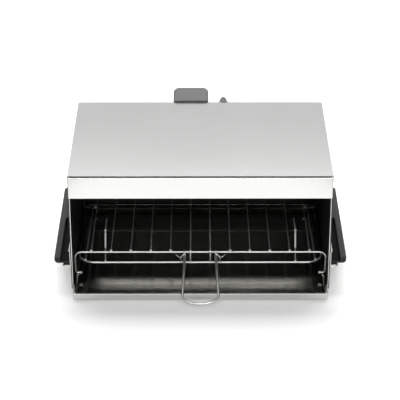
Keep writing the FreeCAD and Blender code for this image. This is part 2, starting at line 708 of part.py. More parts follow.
lower_z = v.gate_height - v.lower_bar
curve_end = v.gate_y + v.lower_round + v.lower_end
lower_right = [Vector(v.lower_half, v.gate_y, lower_z), Vector(v.lower_half, curve_end, lower_z)]
node("lower_bar", feature("lower_bar", bent_rod(
    flipped(lower_right)[::-1] + lower_right, [v.lower_round, v.lower_round], v.frame_radius)))

# Each side rod lies on the lower bar's round corner in front and on the rear foot behind.
rod_rise = 2 * v.frame_radius + v.weld_gap
corner_reach = max(0, v.lower_round - v.side_rod_inset)
corner_y = v.gate_y + v.lower_round - math.sqrt(v.lower_round ** 2 - corner_reach ** 2)


def side_rod(side):
    front = Vector(side * v.rod_x, corner_y, lower_z)
    rear = Vector(side * v.rod_x, v.rear_gate_y, v.foot_level)
    run = rear - front
    lift = Vector(0, 0, rod_rise * run.Length / abs(run.y))
    overhang = run.normalize() * v.wire_overhang
    start = front + lift - overhang
    end = rear + lift + overhang
    return Part.makeCylinder(v.frame_radius, (end - start).Length, start, end - start)


node("side_rods", feature("side_rods", Part.makeCompound([side_rod(-1), side_rod(1)])))

# The grid wires lie on both gates; the two beside the middle also turn down in front of the
# upper and the lower bar and tie them together.
seat = v.frame_radius + v.wire_radius + v.weld_gap


def grid_wire(x, tied):
    front = Vector(x, v.gate_y, v.gate_height)
    rear = Vector(x, v.rear_gate_y, v.rear_gate_height)
    run = rear - front
    lift = Vector(0, 0, seat * run.Length / abs(run.y))
    forward = run.normalize() * -1
    front = front + lift
    end = rear + lift - forward * v.wire_overhang
    if not tied:
        start = front + forward * v.wire_overhang
        tip = Part.makeSphere(v.wire_radius * 1.15, start)
        wire = Part.makeCylinder(v.wire_radius, (end - start).Length, start, end - start)
        return wire.fuse(tip)
    corner = front + forward * (seat / abs(forward.y))
    foot = Vector(x, corner.y, lower_z - v.frame_radius)
    return bent_rod([foot, corner, end], [1.2 * v.wire_radius], v.wire_radius)


wire_pitch = 2 * (v.gate_half - v.wire_inset) / (WIRE_COUNT - 1)
middle_wires = (WIRE_COUNT // 2 - 1, WIRE_COUNT // 2)
for label, tied in (("grid_wires", False), ("tie_wires", True)):
    node(label, feature(label, Part.makeCompound([
        grid_wire((i - (WIRE_COUNT - 1) / 2) * wire_pitch, tied)
        for i in range(WIRE_COUNT) if (i in middle_wires) == tied])))


def stay(side):
    """A thin upright on the lower bar that leans back and then runs level to the rear."""
    x = side * v.stay_x
    foot = Vector(x, v.gate_y, lower_z + v.frame_radius + v.stay_radius / 2)
    top = foot + Vector(0, v.stay_lean, v.stay_rise)
    end = top + Vector(0, v.stay_back, -v.stay_fall)
    wire = bent_rod([foot, top, end], [v.stay_bend], v.stay_radius)
    return wire.fuse(Part.makeSphere(v.stay_radius * 1.3, end))


node("rack_stays", feature("rack_stays", Part.makeCompound([stay(-1), stay(1)])))

# ---------------------------------------------------------------------------------------
# Rack handle: one bent wire with an eye on each leg round the upper bar
# ---------------------------------------------------------------------------------------
# The legs pass under the bar and come to rest just above the tray's front lip.
eye_ring = v.frame_radius + v.handle_radius + v.eye_clearance
pivot = Vector(0, v.gate_y, v.gate_height)
lip_edge = Vector(0, v.tray_front, v.tray_top)
span = pivot - lip_edge
sight = math.atan2(span.z, span.y)
leg_clear = v.handle_radius + v.tray_touch + eye_ring
droop = sight - math.asin(leg_clear / span.Length)
forward = Vector(0, -math.cos(droop), -math.sin(droop))
upward = Vector(0, -math.sin(droop), math.cos(droop))
leg_top = pivot - upward * eye_ring
top_half = v.handle_top / 2
low_half = v.handle_width / 2


def on_handle(x, along):
    return leg_top + forward * along + Vector(x, 0, 0)


right_leg = [on_handle(top_half, 0), on_handle(low_half, v.handle_reach)]
nose = [on_handle(0, v.handle_reach + v.nose_depth)]
bail = bent_rod(right_leg + nose + flipped(right_leg)[::-1],
                [v.handle_bend, v.nose_round, v.handle_bend], v.handle_radius)


def eye(side):
    """The eye round the upper bar, and the tail that stands before the lower bar."""
    centre = pivot + Vector(side * top_half, 0, 0)
    ring = Part.makeTorus(eye_ring, v.handle_radius, centre, Vector(1, 0, 0))
    front_y = v.gate_y - v.frame_radius - v.handle_radius - v.tray_touch
    tail_x = top_half + v.tail_splay
    start = Vector(side * top_half, front_y, v.gate_height)
    knee = Vector(side * tail_x, front_y, v.gate_height - v.tail_drop)
    end = Vector(side * tail_x, front_y, v.gate_height - v.tail_length)
    return ring.fuse(bent_rod([start, knee, end], [v.tail_bend], v.handle_radius))


node("rack_handle", feature("rack_handle", bail.fuse([eye(-1), eye(1)]).removeSplitter()))

# ---------------------------------------------------------------------------------------
# Check every object, then write one file a node
# ---------------------------------------------------------------------------------------
doc.recompute()
for item in doc.Objects:
    if "Invalid" in item.State or "Error" in item.State:
        raise RuntimeError(f"{item.Label} failed: {item.State}")
for label, solid in nodes.items():
    if solid.Shape.isNull() or not solid.Shape.isValid():
        raise RuntimeError(f"{label} has no valid shape")
for label, solid in nodes.items():
    solid.Shape.exportStep(f"parts/{label}.step")
print(len(nodes), "nodes")
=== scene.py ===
import math

import bmesh
import bpy
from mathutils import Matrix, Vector


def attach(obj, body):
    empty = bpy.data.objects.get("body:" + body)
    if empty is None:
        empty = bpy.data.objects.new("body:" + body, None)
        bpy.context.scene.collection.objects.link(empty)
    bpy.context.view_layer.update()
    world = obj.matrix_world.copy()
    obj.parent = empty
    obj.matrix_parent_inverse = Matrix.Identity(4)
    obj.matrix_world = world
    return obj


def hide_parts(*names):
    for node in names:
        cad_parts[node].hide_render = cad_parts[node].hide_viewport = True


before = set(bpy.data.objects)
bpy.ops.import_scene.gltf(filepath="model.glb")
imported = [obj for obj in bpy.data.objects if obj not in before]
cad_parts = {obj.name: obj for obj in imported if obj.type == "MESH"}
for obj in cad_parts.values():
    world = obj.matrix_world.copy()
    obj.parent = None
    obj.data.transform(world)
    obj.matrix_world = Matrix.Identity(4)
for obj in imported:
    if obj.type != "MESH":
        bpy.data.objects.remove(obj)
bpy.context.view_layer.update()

# ----------------------------------------------------------------------------
# Top cover. One flat sheet of satin stainless steel, rolled over at the front
# into a short lip that hangs proud of the band below it.
# ----------------------------------------------------------------------------
mm = 0.001


def at(x, y, z=0.0):
    """A place given in millimetres."""
    return Vector((x, y, z)) * mm


def finish(slot):
    """One of the roaster's finishes, stripped back to a bare shader."""
    made = bpy.data.materials[slot]
    made.use_nodes = True
    tree = made.node_tree
    tree.nodes.clear()
    shader = tree.nodes.new("ShaderNodeBsdfPrincipled")
    surface = tree.nodes.new("ShaderNodeOutputMaterial")
    tree.links.new(shader.outputs[0], surface.inputs["Surface"])
    return made, tree, shader


def shader_of(made):
    """The bare shader that a finish is built on."""
    return next(n for n in made.node_tree.nodes if n.type == "BSDF_PRINCIPLED")


def put(tree, kind, inputs=(), **settings):
    """Adds a node; an input is either a value or another node's output."""
    made = tree.nodes.new(kind)
    for key, value in settings.items():
        setattr(made, key, value)
    for key, value in dict(inputs).items():
        if isinstance(value, bpy.types.NodeSocket):
            tree.links.new(value, made.inputs[key])
        else:
            made.inputs[key].default_value = value
    return made


def own_place(tree, kind="Object"):
    """The x, y and z of the shaded spot on the object itself."""
    place = put(tree, "ShaderNodeTexCoord").outputs[kind]
    return put(tree, "ShaderNodeSeparateXYZ", {0: place}).outputs


def noise(tree, stretch, detail=4.0, roughness=0.55):
    """Noise on the object's own coordinates, so many grains to the metre each way."""
    place = put(tree, "ShaderNodeTexCoord").outputs["Object"]
    scaled = put(tree, "ShaderNodeMapping", {"Vector": place, "Scale": stretch}).outputs[0]
    return put(tree, "ShaderNodeTexNoise", {"Vector": scaled, "Scale": 1.0, "Detail": detail,
                                            "Roughness": roughness}).outputs["Fac"]


def spread(tree, source, low, high, start=0.3, end=0.7):
    """Noise between start and end spread over low to high."""
    return put(tree, "ShaderNodeMapRange", {"Value": source, "From Min": start, "From Max": end,
                                            "To Min": low, "To Max": high}).outputs[0]


def total(tree, first, second, operation="ADD"):
    """Two numbers added, or combined by another operation."""
    return put(tree, "ShaderNodeMath", {0: first, 1: second}, operation=operation).outputs[0]


def eased(tree, value, start, end, high, low=0.0):
    """Low up to start, high from end, and a soft change between."""
    return put(tree, "ShaderNodeMapRange", {"Value": value, "From Min": start, "From Max": end,
                                            "To Min": low, "To Max": high},
               interpolation_type="SMOOTHSTEP").outputs[0]


def tinted(tree, factor, dark, light):
    """A colour that runs from dark to light with a factor."""
    mix = put(tree, "ShaderNodeMix", data_type="RGBA")
    tree.links.new(factor, mix.inputs[0])
    mix.inputs[6].default_value = (*dark, 1)
    mix.inputs[7].default_value = (*light, 1)
    return mix.outputs[2]


def rolled_steel(slot, dark, light, rough, along, lines=1500, relief=0.06, patchy=1.0):
    """Mill-rolled sheet: fine lines along one axis, and a cloudy bloom from handling."""
    made, tree, shader = finish(slot)
    stretch = [lines] * 3
    stretch[along] = lines / 90
    grain = noise(tree, stretch, 3.0)
    bloom = noise(tree, (6, 6, 6), 5.0)
    tone = total(tree, spread(tree, grain, 0.0, 0.5), spread(tree, bloom, 0.0, 0.5))
    shader.inputs["Metallic"].default_value = 1.0
    tree.links.new(tinted(tree, tone, dark, light), shader.inputs["Base Color"])
    uneven = total(tree, spread(tree, grain, -0.04, 0.04), spread(tree, bloom, -0.03, 0.05))
    uneven = total(tree, uneven, patchy, "MULTIPLY")
    tree.links.new(total(tree, uneven, rough), shader.inputs["Roughness"])
    bump = put(tree, "ShaderNodeBump", {"Height": grain, "Strength": relief,
                                        "Distance": 0.0001})
    tree.links.new(bump.outputs[0], shader.inputs["Normal"])
    return made


def rounded(line, bends, steps=6):
    """The corners of a run of points turned into arcs of the given bend radii."""
    if not hasattr(bends, "__len__"):
        bends = [bends] * (len(line) - 2)
    out = [line[0].copy()]
    for before, corner, after, bend in zip(line, line[1:], line[2:], bends):
        back, on = (before - corner).normalized(), (after - corner).normalized()
        half = back.angle(on) / 2
        middle = corner + (back + on).normalized() * (bend / math.sin(half))
        first = corner + back * (bend / math.tan(half)) - middle
        last = corner + on * (bend / math.tan(half)) - middle
        turn = first.angle(last)
        for i in range(steps + 1):
            a, b = math.sin(turn * (1 - i / steps)), math.sin(turn * i / steps)
            out.append(middle + (first * a + last * b) / math.sin(turn))
    out.append(line[-1].copy())
    return out


def folded(line, wall, start, end, axis=0):
    """A sheet of even wall folded along a line of points and run from start to end."""
    sides = []
    for i, point in enumerate(line):
        before, after = line[max(i - 1, 0)], line[min(i + 1, len(line) - 1)]
        way = (after - before).normalized()
        normal = (Vector((0, -way.z, way.y)), Vector((-way.z, 0, way.x)),
                  Vector((-way.y, way.x, 0)))[axis]
        near = line[i - 1] if i else line[1]
        slant = abs((point - near).normalized().dot(way))
        sides.append(normal * (wall / 2 / max(slant, 0.7)))
    loop = [p + n for p, n in zip(line, sides)] + [p - n for p, n in zip(line, sides)][::-1]
    shape = bmesh.new()
    rings = [[shape.verts.new([place if i == axis else p[i] for i in range(3)]) for p in loop]
             for place in (start, end)]
    count = len(loop)
    one, two = rings
    for i in range(count):
        shape.faces.new((one[i], one[(i + 1) % count], two[(i + 1) % count], two[i]))
    half = count // 2
    for ring in rings:
        for i in range(half - 1):
            shape.faces.new((ring[i], ring[i + 1], ring[count - 2 - i], ring[count - 1 - i]))
    bmesh.ops.recalc_face_normals(shape, faces=shape.faces)
    made = bpy.data.meshes.new("sheet")
    shape.to_mesh(made)
    shape.free()
    return made


def add_piece(name, mesh, slot, body, *stands_for):
    """Puts a made mesh on its body, in the finish of its slot."""
    mesh.name = name
    mesh.materials.clear()
    mesh.materials.append(bpy.data.materials[slot])
    mesh.shade_smooth()
    mesh.set_sharp_from_angle(angle=math.radians(38))
    made = bpy.data.objects.new(name, mesh)
    bpy.context.scene.collection.objects.link(made)
    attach(made, body)
    if stands_for:
        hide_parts(*stands_for)
    return made


def soften(piece, width, segments=2, angle=40):
    """A small radius on the edges that a hand would feel."""
    edge = piece.modifiers.new("edges", "BEVEL")
    edge.width = width
    edge.segments = segments
    edge.limit_method = "ANGLE"
    edge.angle_limit = math.radians(angle)
    return piece


rolled_steel("cover_steel", (0.56, 0.56, 0.555), (0.61, 0.61, 0.605), 0.28, along=0,
             relief=0.006, patchy=0.1)
half_hood, lip_front, hood_rear = 200 * mm, -132.7, 134.5
cover_level, cover_sheet = 199.6, 0.7 * mm
lip_line = rounded([at(0, lip_front, cover_level - 0.5), at(0, lip_front, cover_level),
                    at(0, hood_rear, cover_level)], 0.4 * mm)
cover = add_piece("hood_cover", folded(lip_line, cover_sheet, -half_hood, half_hood),
                  "cover_steel", "housing", "top_cover")
soften(cover, 0.25 * mm)

# ----------------------------------------------------------------------------
# Front band. A strip of bright stainless steel hooked under the cover; its
# foot turns back into the hood to stiffen the mouth.
# ----------------------------------------------------------------------------
rolled_steel("band_steel", (0.80, 0.80, 0.78), (0.86, 0.86, 0.84), 0.16, along=0)
band_face, band_top, band_foot = -134.8, 197.0, 162.0
hook_end, foot_end, half_band = -128.0, -122.8, 199.9 * mm
band_line = rounded([at(0, hook_end, band_top), at(0, band_face, band_top),
                     at(0, band_face, band_foot), at(0, foot_end, band_foot)],
                    [0.9 * mm, 1.4 * mm])
band = add_piece("hood_band", folded(band_line, 1.0 * mm, -half_band, half_band), "band_steel",
                 "housing", "front_band")
soften(band, 0.2 * mm)

# ----------------------------------------------------------------------------
# Side panels. Stainless sheet whose front edge is rolled inwards to cover the
# edge of the inner wall; the rear edge turns in to take the screws.
# ----------------------------------------------------------------------------
side_steel = rolled_steel("side_steel", (0.80, 0.80, 0.78), (0.87, 0.87, 0.85), 0.2, along=1)
tree, shader = side_steel.node_tree, shader_of(side_steel)

# The outer bend of the front edge is painted near black: painted shade standing in for the dark
# reflection on that bend.
x, y, z = own_place(tree)
outer = put(tree, "ShaderNodeMapRange", {"Value": total(tree, x, 0, "ABSOLUTE"),
            "From Min": 0.1990, "From Max": 0.1993}).outputs[0]
front = put(tree, "ShaderNodeMapRange", {"Value": y, "From Min": -0.1320,
            "From Max": -0.1325}).outputs[0]
bare = shader.inputs["Base Color"].links[0].from_socket
painted_dark_edge = put(tree, "ShaderNodeMix", {0: total(tree, outer, front, "MULTIPLY"), 6: bare,
             7: (0.03, 0.03, 0.028, 1)}, data_type="RGBA")
tree.links.new(painted_dark_edge.outputs[2], shader.inputs["Base Color"])
edge_in, side_face, flange_in = 198.2, 200.5, 190.0
panel_front, panel_rear, side_sheet = -133.6, 134.1, 0.55 * mm
panel_foot, panel_top = 3 * mm, 198.9 * mm
for side, name in ((-1, "left"), (1, "right")):
    side_line = rounded([at(side * edge_in, panel_front), at(side * side_face, panel_front),
                         at(side * side_face, panel_rear), at(side * flange_in, panel_rear)],
                        [1.5 * mm, 1.2 * mm], 8)
    add_piece(f"{name}_side", folded(side_line, side_sheet, panel_foot, panel_top, axis=2),
              "side_steel", "housing", f"{name}_side_panel")

# ----------------------------------------------------------------------------
# Cooking space. Inner walls, rear wall and roof of sheet under a black heat
# proof coat, slightly uneven and faintly glossy.
# ----------------------------------------------------------------------------
_, tree, shader = finish("cavity_steel")
speckle = noise(tree, (900, 900, 900), 3.0)
film = noise(tree, (14, 14, 14), 5.0)
tree.links.new(tinted(tree, spread(tree, film, 0.0, 1.0), (0.010, 0.010, 0.009),
                      (0.020, 0.019, 0.017)), shader.inputs["Base Color"])
tree.links.new(total(tree, spread(tree, film, 0.38, 0.52), spread(tree, speckle, -0.05, 0.05)),
               shader.inputs["Roughness"])
shader.inputs["Specular IOR Level"].default_value = 0.35
bump = put(tree, "ShaderNodeBump", {"Height": speckle, "Strength": 0.25, "Distance": 0.0001})
tree.links.new(bump.outputs[0], shader.inputs["Normal"])

# ----------------------------------------------------------------------------
# Rear panel, base and feet. Plain galvanised sheet behind and beneath, held
# with pan head screws; four rubber pads under the base.
# ----------------------------------------------------------------------------
rolled_steel("rear_steel", (0.50, 0.50, 0.49), (0.62, 0.62, 0.61), 0.38, along=0)
rolled_steel("base_steel", (0.42, 0.42, 0.41), (0.56, 0.56, 0.55), 0.42, along=0)
rolled_steel("screw_steel", (0.60, 0.60, 0.58), (0.72, 0.71, 0.69), 0.25, along=2, lines=2500)

rubber, tree, shader = finish("foot_rubber")
dust = noise(tree, (260, 260, 260), 4.0)
tree.links.new(tinted(tree, spread(tree, dust, 0.0, 1.0), (0.018, 0.018, 0.018),
                      (0.045, 0.044, 0.042)), shader.inputs["Base Color"])
tree.links.new(spread(tree, dust, 0.62, 0.8), shader.inputs["Roughness"])


def new_tree(name, **inputs):
    """A geometry node tree with named inputs; returns it with its two end nodes."""
    tree = bpy.data.node_groups.new(name, "GeometryNodeTree")
    tree.interface.new_socket("Shape", in_out="OUTPUT", socket_type="NodeSocketGeometry")
    tree.interface.new_socket("Start", in_out="INPUT", socket_type="NodeSocketGeometry")
    for label, kind in inputs.items():
        tree.interface.new_socket(label, in_out="INPUT", socket_type="NodeSocket" + kind)
    return tree, put(tree, "NodeGroupInput").outputs, put(tree, "NodeGroupOutput")


def end_tree(tree, ends, shape, material):
    """Smooths the shape, makes it real and gives it its finish."""
    smooth = put(tree, "GeometryNodeSetShadeSmooth", {"Geometry": shape})
    real = put(tree, "GeometryNodeRealizeInstances", {"Geometry": smooth.outputs[0]})
    done = put(tree, "GeometryNodeSetMaterial", {"Geometry": real.outputs[0],
                                                 "Material": material})
    tree.links.new(done.outputs[0], ends.inputs["Shape"])
    return tree


def spot_place(tree):
    """The x, y and z of each point of a mesh that a tree works on."""
    return put(tree, "ShaderNodeSeparateXYZ", {
        0: put(tree, "GeometryNodeInputPosition").outputs[0]}).outputs


def facing_copies(tree, points, shape):
    """A copy of the shape at each point, its top turned the way the point faces."""
    way = put(tree, "GeometryNodeInputNamedAttribute", {"Name": "facing"},
              data_type="FLOAT_VECTOR").outputs[0]
    aim = put(tree, "FunctionNodeAlignRotationToVector", {"Vector": way}, axis="Z").outputs[0]
    return put(tree, "GeometryNodeInstanceOnPoints", {"Points": points, "Instance": shape,
                                                      "Rotation": aim}).outputs[0]


def grown(tree, start, **sizes):
    """Runs a node tree on a start mesh and returns the plain mesh that comes out."""
    holder = bpy.data.objects.new("holder", start)
    bpy.context.scene.collection.objects.link(holder)
    grow = holder.modifiers.new("grow", "NODES")
    grow.node_group = tree
    for socket in tree.interface.items_tree:
        if socket.in_out == "INPUT" and socket.name in sizes:
            grow[socket.identifier] = sizes[socket.name]
    bpy.context.view_layer.update()
    ready = holder.evaluated_get(bpy.context.evaluated_depsgraph_get())
    made = bpy.data.meshes.new_from_object(ready)
    holder.modifiers.remove(grow)
    bpy.data.objects.remove(holder)
    return made


def spots(places, facing):
    """Loose points, each knowing which way its fastener faces."""
    made = bpy.data.meshes.new("spots")
    made.from_pydata(places, [], [])
    field = made.attributes.new("facing", "FLOAT_VECTOR", "POINT")
    field.data.foreach_set("vector", [c for way in facing for c in way])
    return made


def fastener_tree(name, recessed):
    """A domed head at each point, with a cross recess or plain."""
    tree, given, ends = new_tree(name, Radius="Float", Height="Float", Rim="Float",
                                 Recess="Float", Finish="Material")
    disc = put(tree, "GeometryNodeMeshCylinder", {"Vertices": 28, "Side Segments": 1,
               "Fill Segments": 5, "Radius": given["Radius"], "Depth": given["Height"]})
    x, y, z = spot_place(tree)
    square = total(tree, total(tree, x, x, "MULTIPLY"), total(tree, y, y, "MULTIPLY"))
    out = total(tree, square, total(tree, given["Radius"], given["Radius"], "MULTIPLY"), "DIVIDE")
    fall = total(tree, given["Height"], given["Rim"], "SUBTRACT")
    dome = total(tree, given["Height"], total(tree, out, fall, "MULTIPLY"), "SUBTRACT")
    top = total(tree, z, 0.0, "GREATER_THAN")
    level = put(tree, "ShaderNodeCombineXYZ", {0: x, 1: y, 2: total(tree, dome, top, "MULTIPLY")})
    shape = put(tree, "GeometryNodeSetPosition", {"Geometry": disc.outputs[0],
                                                  "Position": level.outputs[0]}).outputs[0]
    if recessed:
        long = total(tree, given["Radius"], 1.2, "MULTIPLY")
        lift = put(tree, "ShaderNodeCombineXYZ", {2: given["Height"]}).outputs[0]
        carve = put(tree, "GeometryNodeMeshBoolean", {"Mesh 1": shape}, operation="DIFFERENCE")
        for across, along in ((long, given["Recess"]), (given["Recess"], long)):
            size = put(tree, "ShaderNodeCombineXYZ", {0: across, 1: along, 2: given["Height"]})
            bar = put(tree, "GeometryNodeMeshCube", {"Size": size.outputs[0]}).outputs[0]
            cutter = put(tree, "GeometryNodeTransform", {"Geometry": bar, "Translation": lift})
            tree.links.new(cutter.outputs[0], carve.inputs["Mesh 2"])
        shape = carve.outputs[0]
    copies = facing_copies(tree, given["Start"], shape)
    spin = put(tree, "FunctionNodeRandomValue", {"Seed": 11}, data_type="FLOAT")
    spin.inputs[2].default_value, spin.inputs[3].default_value = 0.0, 3.1
    turn = put(tree, "FunctionNodeEulerToRotation", {0: put(tree, "ShaderNodeCombineXYZ", {
        2: spin.outputs[1]}).outputs[0]}).outputs[0]
    turned = put(tree, "GeometryNodeRotateInstances", {"Instances": copies, "Rotation": turn})
    return end_tree(tree, ends, turned.outputs[0], given["Finish"])


crossed = fastener_tree("cross_head", True)
domed = fastener_tree("domed_head", False)
screw_steel = bpy.data.materials["screw_steel"]
screw_x, foot_x, foot_y, foot_height = 194, 166, 100.5, 3.0
screw_head, screw_rim, recess = 3.4 * mm, 0.9 * mm, 0.8 * mm
panel_spots = [at(x, hood_rear, z) for x in (-screw_x, screw_x) for z in (23, 101, 179)]
panel_screws = grown(crossed, spots(panel_spots, [(0, 1, 0)] * len(panel_spots)),
                     Radius=screw_head, Height=2.0 * mm, Rim=screw_rim, Recess=recess,
                     Finish=screw_steel)
add_piece("panel_screws", panel_screws, "screw_steel", "housing", "housing_screws")
foot_spots = [at(x, y, foot_height) for x in (-foot_x, foot_x) for y in (-foot_y, foot_y)]
foot_pads = grown(domed, spots(foot_spots, [(0, 0, -1)] * len(foot_spots)), Radius=9.0 * mm,
                  Height=foot_height * mm, Rim=2.4 * mm, Recess=0.0, Finish=rubber)
add_piece("foot_pads", foot_pads, "foot_rubber", "housing", "feet")

# ----------------------------------------------------------------------------
# Heating. Two hairpin elements hang from steel brackets under a bright
# reflector; ceramic beads insulate their pins and a bush passes the leads.
# ----------------------------------------------------------------------------
rolled_steel("bracket_steel", (0.30, 0.295, 0.28), (0.42, 0.41, 0.39), 0.36, along=1)
rolled_steel("reflector_metal", (0.80, 0.79, 0.76), (0.88, 0.87, 0.84), 0.24, along=0)
rolled_steel("pin_brass", (0.62, 0.52, 0.30), (0.74, 0.62, 0.36), 0.24, along=0, lines=2500)

# The reflector is one sheet whose front and rear edges are bent down and stiffened.
sheet_level, lip_level, flare, half_mirror = 149.0, 137.4, 4.2, 179.2 * mm
mirror_front, mirror_rear = -43.2, 116.3
mirror_line = rounded([at(0, mirror_front - flare, lip_level), at(0, mirror_front, sheet_level),
                       at(0, mirror_rear, sheet_level), at(0, mirror_rear + flare, lip_level)],
                      1.6 * mm)
add_piece("reflector", folded(mirror_line, 0.8 * mm, -half_mirror, half_mirror),
          "reflector_metal", "housing", "heat_reflector")

_, tree, shader = finish("heater_sheath")
heat = noise(tree, (9, 60, 60), 3.0)
scale = noise(tree, (500, 500, 500), 4.0)
shader.inputs["Metallic"].default_value = 1.0
tree.links.new(tinted(tree, spread(tree, heat, 0.0, 1.0), (0.58, 0.56, 0.52),
                      (0.74, 0.71, 0.66)), shader.inputs["Base Color"])
tree.links.new(spread(tree, scale, 0.09, 0.15), shader.inputs["Roughness"])

ceramic, tree, shader = finish("white_ceramic")
glaze = noise(tree, (300, 300, 300), 4.0)
tree.links.new(tinted(tree, spread(tree, glaze, 0.0, 1.0), (0.62, 0.60, 0.54),
                      (0.78, 0.76, 0.70)), shader.inputs["Base Color"])
tree.links.new(spread(tree, glaze, 0.35, 0.55), shader.inputs["Roughness"])

_, tree, shader = finish("lead_sleeve")
braid = put(tree, "ShaderNodeTexWave", {"Scale": 700.0, "Distortion": 2.0, "Detail": 1.0,
            "Vector": put(tree, "ShaderNodeTexCoord").outputs["Object"]},
            bands_direction="DIAGONAL")
tree.links.new(tinted(tree, braid.outputs["Fac"], (0.52, 0.51, 0.47), (0.76, 0.75, 0.71)),
               shader.inputs["Base Color"])
shader.inputs["Roughness"].default_value = 0.75

# A bead is a short barrel, narrower at its ends, one on each pin.
barrel, given, ends = new_tree("bead", Radius="Float", Length="Float", Waist="Float",
                               Finish="Material")
tube = put(barrel, "GeometryNodeMeshCylinder", {"Vertices": 24, "Side Segments": 8,
           "Fill Segments": 2, "Radius": given["Radius"], "Depth": given["Length"]})
x, y, z = spot_place(barrel)
along = total(barrel, z, given["Length"], "DIVIDE")
pinch = total(barrel, total(barrel, along, along, "MULTIPLY"), given["Waist"], "MULTIPLY")
girth = total(barrel, 1.0, pinch, "SUBTRACT")
waisted = put(barrel, "ShaderNodeCombineXYZ", {0: total(barrel, x, girth, "MULTIPLY"),
                                               1: total(barrel, y, girth, "MULTIPLY"), 2: z})
shape = put(barrel, "GeometryNodeSetPosition", {"Geometry": tube.outputs[0],
                                                "Position": waisted.outputs[0]})
end_tree(barrel, ends, facing_copies(barrel, given["Start"], shape.outputs[0]), given["Finish"])
bead_x, element_level, element_rows = 186.5, 130.0, (-21.1, 1.1, 78.4, 100.6)
bead_spots = [at(bead_x, y, element_level) for y in element_rows]
beads = grown(barrel, spots(bead_spots, [(1, 0, 0)] * len(bead_spots)), Radius=4.2 * mm,
              Length=7.0 * mm, Waist=0.9, Finish=ceramic)
add_piece("pin_beads", beads, "white_ceramic", "housing", "heater_beads")

# ----------------------------------------------------------------------------
# Terminal box and cord gland. Grey moulded boxes with rounded edges screwed to
# the rear panel; the gland is a ribbed, tapering sleeve for the mains lead.
# ----------------------------------------------------------------------------
def moulded(slot, dark, light, rough, grain=900):
    """Injection moulded plastic with a fine spark texture."""
    made, tree, shader = finish(slot)
    pits = noise(tree, (grain, grain, grain), 2.0, 0.6)
    flow = noise(tree, (10, 10, 10), 3.0)
    tree.links.new(tinted(tree, spread(tree, flow, 0.0, 1.0), dark, light),
                   shader.inputs["Base Color"])
    tree.links.new(total(tree, spread(tree, pits, -0.05, 0.05), spread(tree, flow, rough,
                         rough + 0.05)), shader.inputs["Roughness"])
    bump = put(tree, "ShaderNodeBump", {"Height": pits, "Strength": 0.35, "Distance": 0.0001})
    tree.links.new(bump.outputs[0], shader.inputs["Normal"])
    return made


def lofted(rings):
    """A closed body through rings of points, its two end rings filled."""
    shape = bmesh.new()
    made = [[shape.verts.new(p) for p in ring] for ring in rings]
    count = len(made[0])
    for one, two in zip(made, made[1:]):
        for i in range(count):
            shape.faces.new((one[i], one[(i + 1) % count], two[(i + 1) % count], two[i]))
    shape.faces.new(made[0])
    shape.faces.new(made[-1])
    bmesh.ops.recalc_face_normals(shape, faces=shape.faces)
    mesh = bpy.data.meshes.new("body")
    shape.to_mesh(mesh)
    shape.free()
    return mesh


def corner_ring(low_x, high_x, low_z, high_z, radius, y, steps=6):
    """An upright rounded rectangle that faces the rear, in millimetres."""
    ring = []
    left, right, foot, head = low_x + radius, high_x - radius, low_z + radius, high_z - radius
    for cx, cz, start in ((right, head, 0), (left, head, 90), (left, foot, 180),
                          (right, foot, 270)):
        for i in range(steps + 1):
            turn = math.radians(start + 90 * i / steps)
            ring.append(at(cx + radius * math.cos(turn), y, cz + radius * math.sin(turn)))
    return ring


moulded("grey_plastic", (0.095, 0.095, 0.094), (0.118, 0.118, 0.116), 0.44)
black = moulded("black_plastic", (0.012, 0.012, 0.012), (0.022, 0.022, 0.022), 0.40)
shader_of(black).inputs["Specular IOR Level"].default_value = 0.36


def box_body(low_x, high_x, low_z, high_z, front, back, corner, edge):
    """A moulded box with soft edges front and back."""
    steps = [(front, edge * 0.5), (front + edge * 0.5, 0)]
    for degrees in (0, 18, 36, 54, 72, 90):
        turn = math.radians(degrees)
        steps.append((back - edge + edge * math.sin(turn), edge * (1 - math.cos(turn))))
    return lofted([corner_ring(low_x + inset, high_x - inset, low_z + inset, high_z - inset,
                               corner - inset, y) for y, inset in steps])


box_back, cap_back = 182.0, 189.87
add_piece("rear_box", box_body(-43.95, 13.55, 131.0, 203.0, hood_rear, box_back, 5.0, 1.2),
          "grey_plastic", "housing", "terminal_box")
add_piece("rear_cap", box_body(-41.15, 10.75, 133.8, 202.3, box_back, cap_back, 4.5, 3.0),
          "grey_plastic", "housing", "terminal_box_cap")


def turned(profile, centre, sides=40):
    """A profile of (radius, distance) turned about an axis that runs to the rear."""
    rings = []
    for radius, y in profile:
        rings.append([centre + at(radius * math.cos(2 * math.pi * i / sides), y,
                                  radius * math.sin(2 * math.pi * i / sides))
                      for i in range(sides)])
    return lofted(rings)


# The gland: a flange, six ribs that narrow to the tip, and the bore turned back inside.
flange, tip, bore, gland_end = 10.9, 4.2, 3.3, 34.0
rib_start, rib_pitch, taper = 8.6, 4.0, 0.155
gland_line = [(flange, 0), (flange, 6.4), (flange - 0.3, 7.2), (flange - 1.3, 7.8), (8.6, 8.2)]
for rib in range(6):
    y = rib_start + rib * rib_pitch
    wide = 8.4 - (y - 8) * taper
    gland_line += [(wide, y), (wide - 0.1, y + 2.3), (wide - 1.3, y + 2.6), (wide - 1.4, y + 3.7)]
gland_line += [(tip + 0.4, gland_end - 1), (tip, gland_end), (bore, gland_end), (bore, 20.0)]
add_piece("lead_gland", turned(gland_line, at(38.5, hood_rear, 190.0)), "grey_plastic", "housing",
          "cord_gland")

# ----------------------------------------------------------------------------
# Side grips. A steel strip riveted to each side carries a black moulded rail;
# the strip's front end is a rounded tongue under the rail.
# ----------------------------------------------------------------------------
rolled_steel("strip_steel", (0.66, 0.66, 0.64), (0.76, 0.76, 0.74), 0.24, along=1)


